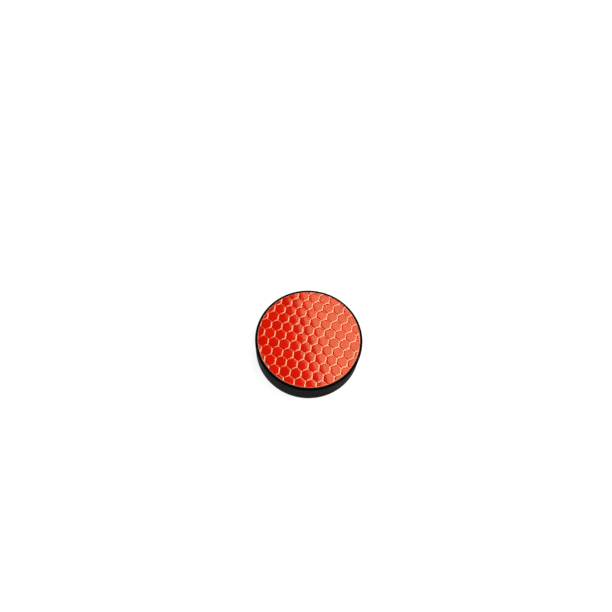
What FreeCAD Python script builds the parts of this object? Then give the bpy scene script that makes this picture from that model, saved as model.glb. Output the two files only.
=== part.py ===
import FreeCAD, Part
import math
import os

# Round bicycle rear reflector: a black plastic housing with a red honeycomb reflective sheet.
# Millimetres. The origin is the centre of the back rim, which lies in the XY plane.
# +Z points out of the reflector's face, and Y runs along the channel that lies nearer the back.

# Housing
housing_diameter = 40.0
housing_depth = 10.5
front_edge_radius = 0.6
back_edge_chamfer = 0.3

# Round pocket inside the back rim, with a shallow recess in its floor and a ledge around that
pocket_depth = 4.0
ledge_width = 3.0
recess_depth = 0.6
pocket_edge_chamfer = 0.25

# Two crossing channels behind the face, each with a slot in the back rim at both ends
tie_slot_width = 8.0
tie_slot_height = 1.8
outer_wall = 1.1
inner_wall = 1.1
channel_floor = 0.8
channel_bend_radius = 3.0
slot_edge_chamfer = 0.25

# Red sheet in a shallow seat in the front, with raised six-sided cells and pressed lines between
front_rim_width = 0.9
sheet_base_thickness = 0.39
seat_clearance = 0.1
seat_depth = 0.3
cell_pitch = 3.98
cell_rise = 0.11
line_width = 0.26
cell_shoulder = 0.3
lattice_turn = -8.5
lattice_offset_x = -0.12
lattice_offset_y = 2.94
smallest_cell_piece = 0.04

# Places worked out from the sizes above
housing_radius = housing_diameter / 2
slot_radius = housing_radius - outer_wall - tie_slot_height / 2
pocket_radius = slot_radius - tie_slot_height / 2 - inner_wall
recess_radius = pocket_radius - ledge_width
recess_height = pocket_depth + recess_depth
seat_radius = housing_radius - front_rim_width
sheet_radius = seat_radius - seat_clearance
seat_height = housing_depth - seat_depth
first_channel_height = recess_height + channel_floor + tie_slot_height / 2
second_channel_height = first_channel_height + tie_slot_height
cell_base_height = seat_height + sheet_base_thickness


def vector(x, y, z):
    return FreeCAD.Vector(x, y, z)


def turned_outline(points):
    """Solid made by turning a closed outline of (radius, height) points about the Z axis."""
    corners = [vector(radius, 0, height) for radius, height in points]
    outline = Part.makePolygon(corners + corners[:1])
    return Part.Face(outline).revolve(vector(0, 0, 0), vector(0, 0, 1), 360)


def housing_body():
    """Disc with the back pocket, its recess and the front seat, and with its edges broken."""
    body = turned_outline([
        (0, recess_height),
        (recess_radius, recess_height),
        (recess_radius, pocket_depth),
        (pocket_radius, pocket_depth),
        (pocket_radius, pocket_edge_chamfer),
        (pocket_radius + pocket_edge_chamfer, 0),
        (housing_radius - back_edge_chamfer, 0),
        (housing_radius, back_edge_chamfer),
        (housing_radius, housing_depth),
        (seat_radius, housing_depth),
        (seat_radius, seat_height),
        (0, seat_height),
    ])
    front_edge = [
        edge for edge in body.Edges
        if abs(edge.BoundBox.ZMin - housing_depth) < 1e-6
        and abs(edge.BoundBox.ZMax - housing_depth) < 1e-6
        and abs(edge.BoundBox.XMax - housing_radius) < 1e-6
    ]
    return body.makeFillet(front_edge_radius, front_edge)


def tie_channel(height):
    """Solid of one channel's space: in at a slot, across behind the face and out again."""
    half_gap = tie_slot_height / 2
    outer_bend = channel_bend_radius + half_gap
    inner_bend = channel_bend_radius - half_gap
    bend_y = slot_radius - channel_bend_radius
    bend_z = height - channel_bend_radius
    below = -slot_edge_chamfer

    def arc(side, bend):
        """Quarter arc of one bend, from the slot's wall to the run behind the face."""
        diagonal = bend * math.sqrt(0.5)
        return Part.Arc(
            vector(0, side * (bend_y + bend), bend_z),
            vector(0, side * (bend_y + diagonal), bend_z + diagonal),
            vector(0, side * bend_y, bend_z + bend),
        ).toShape()

    def line(y1, z1, y2, z2):
        return Part.makeLine(vector(0, y1, z1), vector(0, y2, z2))

    outer = bend_y + outer_bend
    inner = bend_y + inner_bend
    outline = Part.Wire([
        line(outer, below, outer, bend_z),
        arc(1, outer_bend),
        line(bend_y, bend_z + outer_bend, -bend_y, bend_z + outer_bend),
        arc(-1, outer_bend),
        line(-outer, bend_z, -outer, below),
        line(-outer, below, -inner, below),
        line(-inner, below, -inner, bend_z),
        arc(-1, inner_bend),
        line(-bend_y, bend_z + inner_bend, bend_y, bend_z + inner_bend),
        arc(1, inner_bend),
        line(inner, bend_z, inner, below),
        line(inner, below, outer, below),
    ])
    channel = Part.Face(outline).extrude(vector(tie_slot_width, 0, 0))
    channel.translate(vector(-tie_slot_width / 2, 0, 0))
    return channel


def slot_mouth(side):
    """Widening at a slot's mouth in the rim, which takes the sharp edge off it."""
    def rectangle(grown, height):
        half_width = tie_slot_width / 2 + grown
        half_height = tie_slot_height / 2 + grown
        y = side * slot_radius
        corners = [
            vector(-half_width, y - half_height, height),
            vector(half_width, y - half_height, height),
            vector(half_width, y + half_height, height),
            vector(-half_width, y + half_height, height),
        ]
        return Part.makePolygon(corners + corners[:1])

    return Part.makeLoft([rectangle(slot_edge_chamfer, 0), rectangle(0, slot_edge_chamfer)], True)


def make_housing():
    """Housing with its two channels at right angles, one lying over the other."""
    across = [tie_channel(second_channel_height), slot_mouth(1), slot_mouth(-1)]
    for space in across:
        space.rotate(vector(0, 0, 0), vector(0, 0, 1), 90)
    along = [tie_channel(first_channel_height), slot_mouth(1), slot_mouth(-1)]
    return housing_body().cut(along + across)


def hexagon(across_flats, height):
    """Closed six-sided outline about the Z axis, with two sides square to the X axis."""
    corner_radius = across_flats / math.sqrt(3)
    corners = []
    for number in range(6):
        angle = math.radians(60 * number + 30)
        corners.append(vector(corner_radius * math.cos(angle), corner_radius * math.sin(angle), height))
    return Part.makePolygon(corners + corners[:1])


def make_cell():
    """One raised cell with sloped shoulders, about the Z axis."""
    base_width = cell_pitch - line_width
    top_width = base_width - 2 * cell_shoulder
    top_height = cell_base_height + cell_rise
    return Part.makeLoft([hexagon(base_width, cell_base_height), hexagon(top_width, top_height)], True)


def lattice_points():
    """Centres of the cells of the honeycomb that reach onto the sheet."""
    row_step = cell_pitch * math.sqrt(3) / 2
    turn = math.radians(lattice_turn)
    reach = sheet_radius + cell_pitch
    rows = math.ceil(reach / row_step) + 1
    columns = math.ceil(reach / cell_pitch) + 2
    points = []
    for row in range(-rows, rows + 1):
        for column in range(-columns, columns + 1):
            along = (column + 0.5 * (row % 2)) * cell_pitch
            up = row * row_step
            x = lattice_offset_x + along * math.cos(turn) - up * math.sin(turn)
            y = lattice_offset_y + along * math.sin(turn) + up * math.cos(turn)
            if math.hypot(x, y) < sheet_radius + cell_pitch / 2:
                points.append(vector(x, y, 0))
    return points


def make_reflective_sheet():
    """Thin disc with the honeycomb of raised cells, cut off round at the sheet's edge."""
    base = Part.makeCylinder(sheet_radius, sheet_base_thickness, vector(0, 0, seat_height))
    outline = Part.makeCylinder(sheet_radius, cell_rise, vector(0, 0, cell_base_height))
    cells = []
    for place in lattice_points():
        cell = make_cell()
        cell.rotate(vector(0, 0, 0), vector(0, 0, 1), lattice_turn)
        cell.translate(place)
        inside = cell.common(outline)
        if inside.Volume > smallest_cell_piece * cell.Volume:
            cells.append(inside)
    return base.fuse(cells).removeSplitter()


parts = {
    "housing": make_housing(),
    "reflective_sheet": make_reflective_sheet(),
}

os.makedirs("parts", exist_ok=True)
for name, shape in parts.items():
    shape.exportStep("parts/" + name + ".step")
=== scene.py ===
import math

import bmesh
import bpy
from mathutils import Matrix, Vector


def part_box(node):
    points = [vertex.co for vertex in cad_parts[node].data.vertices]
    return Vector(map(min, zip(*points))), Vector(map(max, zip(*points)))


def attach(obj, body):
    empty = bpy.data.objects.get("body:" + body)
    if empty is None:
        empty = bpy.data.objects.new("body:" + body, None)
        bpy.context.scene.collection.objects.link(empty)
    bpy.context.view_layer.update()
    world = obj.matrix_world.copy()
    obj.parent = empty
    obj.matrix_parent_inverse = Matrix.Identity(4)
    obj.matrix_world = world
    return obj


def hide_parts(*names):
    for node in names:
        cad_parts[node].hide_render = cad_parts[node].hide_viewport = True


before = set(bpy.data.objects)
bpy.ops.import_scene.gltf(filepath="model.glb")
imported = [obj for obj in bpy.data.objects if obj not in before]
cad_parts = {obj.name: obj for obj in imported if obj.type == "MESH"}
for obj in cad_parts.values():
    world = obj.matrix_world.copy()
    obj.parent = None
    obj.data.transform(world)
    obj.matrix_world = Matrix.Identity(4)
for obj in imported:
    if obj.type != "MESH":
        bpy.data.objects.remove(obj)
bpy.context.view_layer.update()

# Dressed model of a round bicycle rear reflector: a black printed housing and a red honeycomb film.
# Metres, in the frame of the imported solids. Sizes in millimetres are multiplied by MM.

MM = 0.001

# The film, on the solids' honeycomb, with narrower lines and with rounded shoulders and crowns
sheet_low, sheet_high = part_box("reflective_sheet")
SHEET_RADIUS = sheet_high.x / MM
SEAT_HEIGHT = sheet_low.z / MM
CELL_PITCH = 3.98
LATTICE_TURN = math.radians(-8.5)
LATTICE_OFFSET = (-0.12, 2.94)
LINE_WIDTH = 0.12
SHOULDER_WIDTH = 0.29
CELL_RISE = 0.065
CELL_CROWN = 0.035
CORNER_POWER = 50.0
CELL_SEGMENTS = 24
CELL_RINGS = 18
RING_CROWDING = 1.6
RIM_SEGMENTS = 256
LINE_HEIGHT = sheet_high.z / MM - CELL_RISE - CELL_CROWN
SLAB_UNDER_CELLS = 1.0
PUNCH_DEPTH = 0.8
PUNCH_RINGS = 8
BEVEL_BELOW_LINES = 0.1
SHARP_ANGLE = math.radians(45)

# Patterns finer than the picture can show are drawn coarser: prisms of 0.18 mm, print layers of
# 0.2 mm and print beads of 0.45 mm
PRISM_PITCH = 0.42
LAYER_HEIGHT = 0.8
BEAD_WIDTH = 0.7

# Radii of the two bands of ring beads on the level faces. Slanting beads fade into them
OUTER_RINGS_START = 18.7
INNER_RINGS_START = 16.0
INNER_RINGS_END = 17.3
RING_CHANGE = 0.1

# The studio. The photograph's width and the fitted camera's focal length are in pixels
STAGE_HALF = 4000
FLOOR_DROP = 0.02
CEILING_HEIGHT = 700
SOFTBOX_HEIGHT = 610
SOFTBOX_TURN = math.atan(0.256)
SOFTBOX_TINT = "#ffeac4"
PHOTO_WIDTH = 612
PHOTO_FOCUS = 540.0


def colour(code):
    """Linear colour with full alpha from an sRGB hex code."""
    channels = [int(code[place:place + 2], 16) / 255 for place in (1, 3, 5)]
    linear = [c / 12.92 if c <= 0.04045 else ((c + 0.055) / 1.055) ** 2.4 for c in channels]
    return (*linear, 1.0)


def add(tree, kind, inputs=None, **settings):
    """Adds a node. An input is given by name or number, as a value, a node or a node's output."""
    made = tree.nodes.new(kind)
    for name, value in settings.items():
        setattr(made, name, value)
    for key, value in (inputs or {}).items():
        if isinstance(value, bpy.types.Node):
            value = value.outputs[0]
        if isinstance(value, bpy.types.NodeSocket):
            tree.links.new(value, made.inputs[key])
        else:
            made.inputs[key].default_value = value
    return made


# Materials

def new_material(name):
    material = bpy.data.materials.new(name)
    material.use_nodes = True
    tree = material.node_tree
    tree.nodes.clear()
    return material, tree


def prismatic_film():
    """Dyed clear acrylic, hot pressed over prisms: deep glossy red cells, paler hazy weld lines."""
    material, tree = new_material("prismatic reflective film, dyed acrylic")
    place = add(tree, "ShaderNodeTexCoord").outputs["Object"]
    line_distance = add(tree, "ShaderNodeAttribute", attribute_name="line_distance").outputs["Fac"]
    weld = add(tree, "ShaderNodeMapRange", {
        "Value": line_distance, "From Min": 0.08, "From Max": 0.24, "To Min": 1.0, "To Max": 0.0,
    }, interpolation_type="SMOOTHSTEP")

    # Three crossing rows of cube-corner prisms under the cells
    rows = []
    for number in range(3):
        angle = LATTICE_TURN + math.radians(60 * number)
        across = add(tree, "ShaderNodeVectorMath", {
            0: place, 1: (math.cos(angle), math.sin(angle), 0.0),
        }, operation="DOT_PRODUCT")
        steps = add(tree, "ShaderNodeMath", {
            0: across.outputs["Value"], 1: 1 / (PRISM_PITCH * MM),
        }, operation="MULTIPLY")
        rows.append(add(tree, "ShaderNodeMath", {0: steps, 1: 1.0}, operation="PINGPONG"))
    two = add(tree, "ShaderNodeMath", {0: rows[0], 1: rows[1]}, operation="MULTIPLY")
    prisms = add(tree, "ShaderNodeMath", {0: two, 1: rows[2]}, operation="MULTIPLY")

    cell_tone = add(tree, "ShaderNodeAttribute", attribute_name="cell_tone").outputs["Fac"]
    red = add(tree, "ShaderNodeMix", {
        "Factor": cell_tone, "A": colour("#c20b01"), "B": colour("#d21401"),
    }, data_type="RGBA")
    prism_red = add(tree, "ShaderNodeMix", {
        "Factor": prisms, "A": red.outputs["Result"], "B": colour("#da2005"),
    }, data_type="RGBA")
    # Darker red on the shoulders beside every weld: painted shade, where the shoulders turn away
    # from the light
    weld_shoulder_shade = add(tree, "ShaderNodeMapRange", {
        "Value": line_distance, "From Min": 0.20, "From Max": 0.66, "To Min": 0.74, "To Max": 0.0,
    }, interpolation_type="SMOOTHSTEP")
    shaded = add(tree, "ShaderNodeMix", {
        "Factor": weld_shoulder_shade, "A": prism_red.outputs["Result"], "B": colour("#9f0900"),
    }, data_type="RGBA")
    lined = add(tree, "ShaderNodeMix", {
        "Factor": weld, "A": shaded.outputs["Result"], "B": colour("#f03e14"),
    }, data_type="RGBA")

    # The cut edge and bevel are painted pale pink: a painted highlight along the film's border
    normal = add(tree, "ShaderNodeNewGeometry").outputs["Normal"]
    upward = add(tree, "ShaderNodeSeparateXYZ", {0: normal}).outputs["Z"]
    edge = add(tree, "ShaderNodeMapRange", {
        "Value": upward, "From Min": 0.74, "From Max": 0.80, "To Min": 1.0, "To Max": 0.0,
    })
    edge_highlighted = add(tree, "ShaderNodeMix", {
        "Factor": edge, "A": lined.outputs["Result"], "B": colour("#fb9c86"),
    }, data_type="RGBA")

    roughness = add(tree, "ShaderNodeMapRange", {"Value": weld, "To Min": 0.09, "To Max": 0.16})
    polish = add(tree, "ShaderNodeMapRange", {
        "Value": line_distance, "From Min": 0.26, "From Max": 0.37, "To Min": 1.0, "To Max": 0.0,
    }, interpolation_type="SMOOTHSTEP")
    grain = add(tree, "ShaderNodeTexNoise", {
        "Vector": place, "Scale": 1 / (0.5 * MM), "Detail": 2.0,
    })
    relief = add(tree, "ShaderNodeMath", {0: grain.outputs["Fac"], 1: 0.5, 2: 0.0},
                 operation="MULTIPLY_ADD")
    bump = add(tree, "ShaderNodeBump", {"Strength": 0.15, "Distance": 0.01 * MM, "Height": relief})
    shader = add(tree, "ShaderNodeBsdfPrincipled", {
        "Base Color": edge_highlighted.outputs["Result"], "Roughness": roughness, "IOR": 1.49,
        "Specular Tint": colour("#d8f5d3"), "Coat Weight": polish, "Coat Roughness": 0.16,
        "Coat IOR": 1.9, "Coat Tint": colour("#ffffff"), "Normal": bump,
    })
    add(tree, "ShaderNodeOutputMaterial", {"Surface": shader})
    return material


def ridges(tree, distance, width):
    """Round ridges of a width in millimetres along a distance: 0 in grooves, 1 on crests."""
    steps = add(tree, "ShaderNodeMath", {0: distance, 1: math.pi / (width * MM)},
                operation="MULTIPLY")
    wave = add(tree, "ShaderNodeMath", {0: steps}, operation="SINE")
    return add(tree, "ShaderNodeMath", {0: wave}, operation="ABSOLUTE")


def printed_black():
    """Black filament laid down in beads: nearly black, matte, with level lines round the wall."""
    material, tree = new_material("printed black PETG")
    coordinates = add(tree, "ShaderNodeTexCoord").outputs
    place = coordinates["Object"]
    axes = add(tree, "ShaderNodeSeparateXYZ", {0: place}).outputs
    facing = add(tree, "ShaderNodeSeparateXYZ", {0: coordinates["Normal"]}).outputs["Z"]
    flatness = add(tree, "ShaderNodeMath", {0: facing}, operation="ABSOLUTE")
    level = add(tree, "ShaderNodeMapRange", {"Value": flatness, "From Min": 0.75, "From Max": 0.9})

    # Layers on the wall. On level faces, beads that are round along the edges and else slanting
    wall_beads = ridges(tree, axes["Z"], LAYER_HEIGHT)
    slanting = add(tree, "ShaderNodeMath", {0: axes["X"], 1: axes["Y"]}, operation="ADD")
    fill_beads = ridges(tree, slanting, BEAD_WIDTH * math.sqrt(2))
    flat_place = add(tree, "ShaderNodeCombineXYZ", {"X": axes["X"], "Y": axes["Y"]})
    radius = add(tree, "ShaderNodeVectorMath", {0: flat_place}, operation="LENGTH").outputs["Value"]
    ring_beads = ridges(tree, radius, BEAD_WIDTH)
    outer_rings = add(tree, "ShaderNodeMapRange", {
        "Value": radius, "From Min": OUTER_RINGS_START * MM,
        "From Max": (OUTER_RINGS_START + RING_CHANGE) * MM,
    })
    inner_rings = add(tree, "ShaderNodeMapRange", {
        "Value": radius, "From Min": INNER_RINGS_END * MM,
        "From Max": (INNER_RINGS_END + RING_CHANGE) * MM, "To Min": 1.0, "To Max": 0.0,
    })
    on_rim = add(tree, "ShaderNodeMath", {0: radius, 1: INNER_RINGS_START * MM},
                 operation="GREATER_THAN")
    inner_rings = add(tree, "ShaderNodeMath", {0: inner_rings, 1: on_rim}, operation="MULTIPLY")
    ringed = add(tree, "ShaderNodeMath", {0: outer_rings, 1: inner_rings}, operation="MAXIMUM")
    flat_beads = add(tree, "ShaderNodeMix", {"Factor": ringed, "A": fill_beads, "B": ring_beads},
                     data_type="FLOAT")
    beads = add(tree, "ShaderNodeMix", {
        "Factor": level, "A": wall_beads, "B": flat_beads.outputs["Result"],
    }, data_type="FLOAT").outputs["Result"]

    uneven = add(tree, "ShaderNodeTexNoise", {
        "Vector": place, "Scale": 1 / (7 * MM), "Detail": 4.0,
    })
    wall_black = add(tree, "ShaderNodeMix", {
        "Factor": uneven.outputs["Fac"], "A": colour("#151619"), "B": colour("#1c1d20"),
    }, data_type="RGBA")
    shaded_front_black = add(tree, "ShaderNodeMix", {
        "Factor": uneven.outputs["Fac"], "A": colour("#060709"), "B": colour("#0b0c0e"),
    }, data_type="RGBA")

    # The front rim, its rounded edge and the other upward faces are painted a deeper black than the
    # wall: painted shade, as the wall takes more light from the floor
    front = add(tree, "ShaderNodeMapRange", {"Value": facing, "From Min": 0.15, "From Max": 0.45})
    black = add(tree, "ShaderNodeMix", {
        "Factor": front, "A": wall_black.outputs["Result"], "B": shaded_front_black.outputs["Result"],
    }, data_type="RGBA")
    # Bead crests painted lighter: a painted highlight along the crests, brighter on the wall than
    # on the painted-shade upward faces
    crest = add(tree, "ShaderNodeMapRange", {
        "Value": beads, "From Min": 0.5, "From Max": 1.0, "To Max": 0.35,
    })
    crest_black = add(tree, "ShaderNodeMix", {
        "Factor": front, "A": colour("#292b2f"), "B": colour("#131416"),
    }, data_type="RGBA")
    crest_highlighted = add(tree, "ShaderNodeMix", {
        "Factor": crest, "A": black.outputs["Result"], "B": crest_black.outputs["Result"],
    }, data_type="RGBA")
    fine = add(tree, "ShaderNodeTexNoise", {
        "Vector": place, "Scale": 1 / (0.35 * MM), "Detail": 2.0,
    })
    relief = add(tree, "ShaderNodeMath", {0: fine.outputs["Fac"], 1: 0.12, 2: beads},
                 operation="MULTIPLY_ADD")
    bump = add(tree, "ShaderNodeBump", {"Strength": 0.6, "Distance": 0.05 * MM, "Height": relief})
    roughness = add(tree, "ShaderNodeMapRange", {
        "Value": uneven.outputs["Fac"], "To Min": 0.40, "To Max": 0.58,
    })
    shader = add(tree, "ShaderNodeBsdfPrincipled", {
        "Base Color": crest_highlighted.outputs["Result"], "Roughness": roughness, "IOR": 1.57,
        "Specular IOR Level": 0.003, "Normal": bump,
    })
    add(tree, "ShaderNodeOutputMaterial", {"Surface": shader})
    return material


# The film's honeycomb

def honeycomb_tree(material):
    """Geometry Nodes tree: one pillowed cell, laid out in a honeycomb that is cut off round."""
    tree = bpy.data.node_groups.new("honeycomb film", "GeometryNodeTree")
    tree.interface.new_socket(name="Geometry", in_out="INPUT", socket_type="NodeSocketGeometry")
    tree.interface.new_socket(name="Geometry", in_out="OUTPUT", socket_type="NodeSocketGeometry")
    for name in film_sizes():
        tree.interface.new_socket(name=name, in_out="INPUT", socket_type="NodeSocketFloat")
    size = add(tree, "NodeGroupInput").outputs

    # A cell: rings of points from the middle to the border, crowded towards the border
    grid = add(tree, "GeometryNodeMeshGrid", {
        "Size X": 1.0, "Size Y": 1.0, "Vertices X": CELL_SEGMENTS + 1, "Vertices Y": CELL_RINGS + 1,
    })
    flat = add(tree, "ShaderNodeSeparateXYZ", {0: add(tree, "GeometryNodeInputPosition")}).outputs
    angle = add(tree, "ShaderNodeMath", {0: flat["X"], 1: -math.tau}, operation="MULTIPLY")
    inward = add(tree, "ShaderNodeMath", {0: 0.5, 1: flat["Y"]}, operation="SUBTRACT")
    crowded = add(tree, "ShaderNodeMath", {0: inward, 1: RING_CROWDING}, operation="POWER")
    outward = add(tree, "ShaderNodeMath", {0: 1.0, 1: crowded}, operation="SUBTRACT")
    half_side = math.radians(30)
    off_side = add(tree, "ShaderNodeMath", {0: angle, 1: half_side, 2: -half_side},
                   operation="WRAP")
    narrowing = add(tree, "ShaderNodeMath", {0: off_side}, operation="COSINE")
    half_pitch = add(tree, "ShaderNodeMath", {0: size["Cell Pitch"], 1: 0.5}, operation="MULTIPLY")
    reach = add(tree, "ShaderNodeMath", {0: half_pitch, 1: narrowing}, operation="DIVIDE")
    radius = add(tree, "ShaderNodeMath", {0: reach, 1: outward}, operation="MULTIPLY")
    direction = add(tree, "ShaderNodeCombineXYZ", {
        "X": add(tree, "ShaderNodeMath", {0: angle}, operation="COSINE"),
        "Y": add(tree, "ShaderNodeMath", {0: angle}, operation="SINE"),
    })
    spread = add(tree, "ShaderNodeVectorMath", {0: direction, "Scale": radius}, operation="SCALE")
    disc = add(tree, "GeometryNodeSetPosition", {"Geometry": grid, "Position": spread})
    disc = add(tree, "GeometryNodeMergeByDistance", {"Geometry": disc, "Distance": 0.001 * MM})

    # Its height: a pressed line along the border, a rounded shoulder and a low crown
    place = add(tree, "GeometryNodeInputPosition")
    total = None
    for number in range(3):
        side = math.radians(60 * number)
        across = add(tree, "ShaderNodeVectorMath", {
            0: place, 1: (math.cos(side), math.sin(side), 0.0),
        }, operation="DOT_PRODUCT")
        share = add(tree, "ShaderNodeMath", {0: across.outputs["Value"], 1: half_pitch},
                    operation="DIVIDE")
        share = add(tree, "ShaderNodeMath", {0: share}, operation="ABSOLUTE")
        raised = add(tree, "ShaderNodeMath", {0: share, 1: CORNER_POWER}, operation="POWER")
        total = raised if total is None else add(
            tree, "ShaderNodeMath", {0: total, 1: raised}, operation="ADD")
    share = add(tree, "ShaderNodeMath", {0: total, 1: 1 / CORNER_POWER}, operation="POWER")
    left = add(tree, "ShaderNodeMath", {0: 1.0, 1: share}, operation="SUBTRACT")
    line_distance = add(tree, "ShaderNodeMath", {0: left, 1: half_pitch}, operation="MULTIPLY")
    half_line = add(tree, "ShaderNodeMath", {0: size["Line Width"], 1: 0.5}, operation="MULTIPLY")
    shoulder_end = add(tree, "ShaderNodeMath", {0: half_line, 1: size["Shoulder Width"]},
                       operation="ADD")
    shoulder = add(tree, "ShaderNodeMapRange", {
        "Value": line_distance, "From Min": half_line, "From Max": shoulder_end,
    }, interpolation_type="SMOOTHSTEP")
    from_middle = add(tree, "ShaderNodeVectorMath", {0: place}, operation="LENGTH").outputs["Value"]
    from_middle = add(tree, "ShaderNodeMath", {0: from_middle, 1: half_pitch}, operation="DIVIDE")
    fall = add(tree, "ShaderNodeMath", {0: from_middle, 1: 2.0}, operation="POWER")
    crown = add(tree, "ShaderNodeMath", {0: fall, 1: -0.75, 2: 1.0}, operation="MULTIPLY_ADD")
    crown = add(tree, "ShaderNodeMath", {0: crown, 1: size["Cell Crown"], 2: size["Cell Rise"]},
                operation="MULTIPLY_ADD")
    lift = add(tree, "ShaderNodeMath", {0: crown, 1: shoulder, 2: size["Line Height"]},
               operation="MULTIPLY_ADD")
    cell = add(tree, "GeometryNodeStoreNamedAttribute", {
        "Geometry": disc, "Name": "line_distance",
        "Value": add(tree, "ShaderNodeMath", {0: line_distance, 1: 1 / MM}, operation="MULTIPLY"),
    }, data_type="FLOAT", domain="POINT")
    cell = add(tree, "GeometryNodeSetPosition", {
        "Geometry": cell, "Offset": add(tree, "ShaderNodeCombineXYZ", {"Z": lift}),
    })

    # The honeycomb: rows of centres, every second row shifted by half a pitch, turned and moved
    rows = 2 * math.ceil(SHEET_RADIUS / (CELL_PITCH * math.sqrt(0.75))) + 5
    columns = 2 * math.ceil(SHEET_RADIUS / CELL_PITCH) + 7
    row_step = add(tree, "ShaderNodeMath", {0: size["Cell Pitch"], 1: math.sqrt(0.75)},
                   operation="MULTIPLY")
    lattice = add(tree, "GeometryNodeMeshGrid", {
        "Size X": add(tree, "ShaderNodeMath", {0: size["Cell Pitch"], 1: columns - 1.0},
                      operation="MULTIPLY"),
        "Size Y": add(tree, "ShaderNodeMath", {0: row_step, 1: rows - 1.0}, operation="MULTIPLY"),
        "Vertices X": columns, "Vertices Y": rows,
    })
    centre = add(tree, "GeometryNodeInputPosition")
    row = add(tree, "ShaderNodeMath", {
        0: add(tree, "ShaderNodeSeparateXYZ", {0: centre}).outputs["Y"], 1: row_step,
    }, operation="DIVIDE")
    row = add(tree, "ShaderNodeMath", {0: row}, operation="ROUND")
    odd = add(tree, "ShaderNodeMath", {0: row, 1: 1.0}, operation="PINGPONG")
    shift = add(tree, "ShaderNodeMath", {0: odd, 1: half_pitch}, operation="MULTIPLY")
    shifted = add(tree, "ShaderNodeVectorMath", {
        0: centre, 1: add(tree, "ShaderNodeCombineXYZ", {"X": shift}),
    }, operation="ADD")
    turned = add(tree, "ShaderNodeVectorRotate", {"Vector": shifted, "Angle": size["Lattice Turn"]},
                 rotation_type="Z_AXIS")
    moved = add(tree, "ShaderNodeVectorMath", {
        0: turned,
        1: add(tree, "ShaderNodeCombineXYZ", {"X": size["Offset X"], "Y": size["Offset Y"]}),
    }, operation="ADD")
    lattice = add(tree, "GeometryNodeSetPosition", {"Geometry": lattice, "Position": moved})
    away = add(tree, "ShaderNodeVectorMath", {0: add(tree, "GeometryNodeInputPosition")},
               operation="LENGTH").outputs["Value"]
    far = add(tree, "ShaderNodeMath", {0: size["Cell Pitch"], 1: 0.6, 2: size["Sheet Radius"]},
              operation="MULTIPLY_ADD")
    outside = add(tree, "FunctionNodeCompare", {0: away, 1: far}, data_type="FLOAT",
                  operation="GREATER_THAN")
    lattice = add(tree, "GeometryNodeDeleteGeometry", {"Geometry": lattice, "Selection": outside},
                  domain="POINT", mode="ALL")
    tone = add(tree, "FunctionNodeRandomValue", {"Seed": 7}, data_type="FLOAT")
    lattice = add(tree, "GeometryNodeStoreNamedAttribute", {
        "Geometry": lattice, "Name": "cell_tone", "Value": tone.outputs[1],
    }, data_type="FLOAT", domain="POINT")
    cells = add(tree, "GeometryNodeInstanceOnPoints", {
        "Points": lattice, "Instance": cell,
        "Rotation": add(tree, "ShaderNodeCombineXYZ", {"Z": size["Lattice Turn"]}),
    })
    cells = add(tree, "GeometryNodeRealizeInstances", {"Geometry": cells})
    cells = add(tree, "GeometryNodeMergeByDistance", {"Geometry": cells, "Distance": 0.002 * MM})

    # A closed slab under the cells, and the round outline cut out of it
    under = add(tree, "GeometryNodeExtrudeMesh", {
        "Mesh": cells, "Offset": add(tree, "ShaderNodeCombineXYZ", {"Z": -1.0}),
        "Offset Scale": SLAB_UNDER_CELLS * MM, "Individual": False,
    }, mode="FACES")
    under = add(tree, "GeometryNodeFlipFaces", {"Mesh": under})
    slab = add(tree, "GeometryNodeJoinGeometry")
    tree.links.new(cells.outputs[0], slab.inputs[0])
    tree.links.new(under.outputs[0], slab.inputs[0])
    slab = add(tree, "GeometryNodeMergeByDistance", {"Geometry": slab, "Distance": 0.0005 * MM})
    punch = add(tree, "GeometryNodeMeshCylinder", {
        "Vertices": RIM_SEGMENTS, "Side Segments": PUNCH_RINGS, "Radius": size["Sheet Radius"],
        "Depth": PUNCH_DEPTH * MM,
    })
    punch_middle = add(tree, "ShaderNodeMath", {0: size["Seat Height"], 1: PUNCH_DEPTH / 2 * MM},
                       operation="ADD")
    punch = add(tree, "GeometryNodeTransform", {
        "Geometry": punch.outputs["Mesh"],
        "Translation": add(tree, "ShaderNodeCombineXYZ", {"Z": punch_middle}),
    })
    punch_place = add(tree, "GeometryNodeInputPosition")
    high = add(tree, "ShaderNodeSeparateXYZ", {0: punch_place}).outputs["Z"]
    bevel_start = add(tree, "ShaderNodeMath", {0: size["Line Height"], 1: BEVEL_BELOW_LINES * MM},
                      operation="SUBTRACT")
    above = add(tree, "ShaderNodeMath", {0: high, 1: bevel_start}, operation="SUBTRACT")
    above = add(tree, "ShaderNodeMath", {0: above, 1: 0.0}, operation="MAXIMUM")
    inset = add(tree, "ShaderNodeMath", {0: above, 1: size["Sheet Radius"]}, operation="DIVIDE")
    narrowed = add(tree, "ShaderNodeMath", {0: 1.0, 1: inset}, operation="SUBTRACT")
    bevelled = add(tree, "ShaderNodeVectorMath", {
        0: punch_place,
        1: add(tree, "ShaderNodeCombineXYZ", {"X": narrowed, "Y": narrowed, "Z": 1.0}),
    }, operation="MULTIPLY")
    punch = add(tree, "GeometryNodeSetPosition", {"Geometry": punch, "Position": bevelled})
    sheet = add(tree, "GeometryNodeMeshBoolean", operation="INTERSECT", solver="MANIFOLD")
    tree.links.new(slab.outputs[0], sheet.inputs["Mesh 2"])
    tree.links.new(punch.outputs[0], sheet.inputs["Mesh 2"])
    sheet = add(tree, "GeometryNodeRealizeInstances", {"Geometry": sheet})
    sheet = add(tree, "GeometryNodeSetMaterial", {"Geometry": sheet, "Material": material})
    add(tree, "NodeGroupOutput", {"Geometry": sheet})
    return tree


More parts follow.
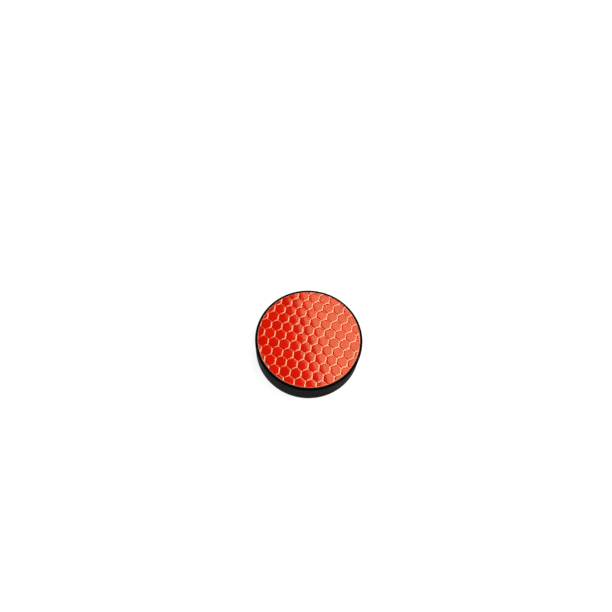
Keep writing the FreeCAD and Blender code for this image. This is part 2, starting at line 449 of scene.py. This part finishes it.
def film_sizes():
    """Sizes that the honeycomb tree takes, in metres and radians."""
    return {
        "Cell Pitch": CELL_PITCH * MM,
        "Line Width": LINE_WIDTH * MM,
        "Shoulder Width": SHOULDER_WIDTH * MM,
        "Cell Rise": CELL_RISE * MM,
        "Cell Crown": CELL_CROWN * MM,
        "Line Height": LINE_HEIGHT * MM,
        "Seat Height": SEAT_HEIGHT * MM,
        "Sheet Radius": SHEET_RADIUS * MM,
        "Lattice Turn": LATTICE_TURN,
        "Offset X": LATTICE_OFFSET[0] * MM,
        "Offset Y": LATTICE_OFFSET[1] * MM,
    }


def new_piece(name, mesh):
    piece = bpy.data.objects.new(name, mesh)
    bpy.context.scene.collection.objects.link(piece)
    return piece


def make_film(material):
    """Red film as one closed mesh, smooth over its cells and sharp at its cut edge."""
    piece = new_piece("honeycomb_film", bpy.data.meshes.new("honeycomb_film"))
    tree = honeycomb_tree(material)
    modifier = piece.modifiers.new("honeycomb", "NODES")
    modifier.node_group = tree
    sizes = film_sizes()
    for item in tree.interface.items_tree:
        if item.in_out == "INPUT" and item.name in sizes:
            modifier[item.identifier] = sizes[item.name]
    evaluated = piece.evaluated_get(bpy.context.evaluated_depsgraph_get())
    mesh = bpy.data.meshes.new_from_object(evaluated)
    piece.modifiers.remove(modifier)
    piece.data = mesh
    work = bmesh.new()
    work.from_mesh(mesh)
    for face in work.faces:
        face.smooth = True
    for edge in work.edges:
        edge.smooth = not edge.is_manifold or edge.calc_face_angle() < SHARP_ANGLE
    work.to_mesh(mesh)
    work.free()
    return piece


# Floor, lamps and camera

def seen_rays(tree):
    """Light-path outputs, and a mask of the rays in which the studio shows white."""
    ray = add(tree, "ShaderNodeLightPath").outputs
    seen = add(tree, "ShaderNodeMath", {0: ray["Is Camera Ray"], 1: ray["Is Glossy Ray"]},
               operation="MAXIMUM")
    seen = add(tree, "ShaderNodeMath", {0: seen, 1: ray["Is Transmission Ray"]},
               operation="MAXIMUM")
    return ray, seen


def level_square(name, height, material):
    """Level square piece of a material, at a height in metres."""
    half = STAGE_HALF * MM
    mesh = bpy.data.meshes.new(name)
    corners = [(-half, -half, height), (half, -half, height), (half, half, height),
               (-half, half, height)]
    mesh.from_pydata(corners, [], [(0, 1, 2, 3)])
    mesh.materials.append(material)
    return new_piece(name, mesh)


def white_floor():
    """Pale floor that shows white, with the soft shadow of the reflector. Clear from below."""
    material, tree = new_material("studio floor")
    ray, seen = seen_rays(tree)
    place = add(tree, "ShaderNodeTexCoord").outputs["Object"]
    away = add(tree, "ShaderNodeVectorMath", {0: place}, operation="LENGTH").outputs["Value"]
    white = add(tree, "ShaderNodeMapRange", {
        "Value": away, "From Min": 0.1, "From Max": 0.6, "To Min": 0.84, "To Max": 1.0,
    })
    glow = add(tree, "ShaderNodeMath", {0: seen, 1: white}, operation="MULTIPLY")
    paint = add(tree, "ShaderNodeBsdfDiffuse", {"Color": colour("#9597a0")})
    light = add(tree, "ShaderNodeEmission", {"Color": colour("#ffffff"), "Strength": glow})
    both = add(tree, "ShaderNodeAddShader", {0: paint, 1: light})

    # From below the floor isn't seen, and it lets the lamp under it through to the back
    underside = add(tree, "ShaderNodeNewGeometry").outputs["Backfacing"]
    open_floor = add(tree, "ShaderNodeMath", {0: underside, 1: ray["Is Shadow Ray"]},
                     operation="MAXIMUM")
    clear = add(tree, "ShaderNodeBsdfTransparent")
    seen_floor = add(tree, "ShaderNodeMixShader", {0: open_floor, 1: both, 2: clear})
    add(tree, "ShaderNodeOutputMaterial", {"Surface": seen_floor})
    return level_square("floor", -FLOOR_DROP * MM, material)


def studio_world():
    """Dim even surroundings, white where the floor ends, also in reflections."""
    world = bpy.data.worlds.new("studio")
    bpy.context.scene.world = world
    world.use_nodes = True
    tree = world.node_tree
    tree.nodes.clear()
    _, seen = seen_rays(tree)
    strength = add(tree, "ShaderNodeMapRange", {"Value": seen, "To Min": 0.28, "To Max": 1.0})
    background = add(tree, "ShaderNodeBackground", {
        "Color": colour("#ffffff"), "Strength": strength.outputs["Result"],
    })
    add(tree, "ShaderNodeOutputWorld", {"Surface": background})


def dark_ceiling():
    """Unlit ceiling over the softboxes. Only reflections see it, and they stay deep there."""
    material, tree = new_material("unlit ceiling")
    paint = add(tree, "ShaderNodeBsdfDiffuse", {"Color": colour("#0a0a0a")})
    add(tree, "ShaderNodeOutputMaterial", {"Surface": paint})
    ceiling = level_square("ceiling", CEILING_HEIGHT * MM, material)
    ceiling.visible_camera = False
    ceiling.visible_diffuse = False
    ceiling.visible_shadow = False
    return ceiling


def lamp(name, place, turn, size, radiance, tint="#ffffff"):
    """Rectangular softbox. Its power comes from its brightness as seen from the front."""
    data = bpy.data.lights.new(name, "AREA")
    data.shape = "RECTANGLE"
    data.size, data.size_y = size
    data.energy = radiance * math.pi * size[0] * size[1]
    data.color = colour(tint)[:3]
    made = bpy.data.objects.new(name, data)
    made.matrix_world = Matrix.Translation(place) @ turn.to_4x4()
    bpy.context.scene.collection.objects.link(made)
    return made


def aimed(place, target=(0.0, 0.0, 0.01)):
    """Turn of a lamp at a place that points at the reflector."""
    return (Vector(target) - Vector(place)).to_track_quat("-Z", "Y").to_matrix()


def lamps():
    """Large softbox above right, dimmer along its left border, and fills that no gloss shows."""
    turn = Matrix.Rotation(SOFTBOX_TURN, 3, "Z")
    softbox = (
        ("softbox border", (130, 237), (84, 214), 4.8),
        ("softbox low", (123, -100), (97, 460), 5.0),
        ("softbox middle", (236, 5), (128, 670), 5.0),
        ("softbox far", (440, 40), (280, 600), 6.1),
    )
    for name, middle, size, radiance in softbox:
        place = turn @ (Vector((*middle, SOFTBOX_HEIGHT)) * MM)
        lamp(name, place, turn, (size[0] * MM, size[1] * MM), radiance, SOFTBOX_TINT)
    fills = (
        ("fill front", (0.25, -0.85, 0.45), (0.8, 0.4), 0.5),
        ("fill left", (-0.85, 0.35, 0.15), (0.7, 0.5), 3.2),
        ("fill right", (0.85, 0.45, 0.15), (0.7, 0.5), 1.4),
        ("fill back", (0.10, 1.00, 0.12), (0.9, 0.4), 3.2),
        ("fill below", (0.00, 0.50, -0.55), (1.0, 0.8), 5.0),
    )
    for name, place, size, radiance in fills:
        fill = lamp(name, Vector(place), aimed(place), size, radiance)
        fill.visible_glossy = False


def photo_camera():
    """Pinhole camera fitted to the reflector's outline and face in the photograph."""
    data = bpy.data.cameras.new("photo camera")
    data.sensor_width = 36.0
    data.lens = PHOTO_FOCUS * data.sensor_width / PHOTO_WIDTH
    data.clip_start = 0.01
    camera = bpy.data.objects.new("photo camera", data)
    elevation = math.radians(64.663)
    tilt = Matrix.Rotation(math.pi / 2 - elevation, 4, "X")
    roll = Matrix.Rotation(math.radians(5.91), 4, "Z")
    azimuth = Matrix.Rotation(math.radians(-5.1), 4, "Z")
    look_at = Matrix.Translation((-2.347 * MM, 17.937 * MM, 0.0))
    step_back = Matrix.Translation((0.0, 0.0, 217.405 * MM))
    camera.matrix_world = azimuth @ look_at @ tilt @ step_back @ roll
    bpy.context.scene.collection.objects.link(camera)
    bpy.context.scene.camera = camera


film = make_film(prismatic_film())
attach(film, "root")
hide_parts("reflective_sheet")

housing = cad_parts["housing"]
black = printed_black()
housing.data.materials.clear()
housing.data.materials.append(black)

white_floor()
dark_ceiling()
studio_world()
lamps()
photo_camera()
bpy.context.scene.view_settings.view_transform = "Standard"
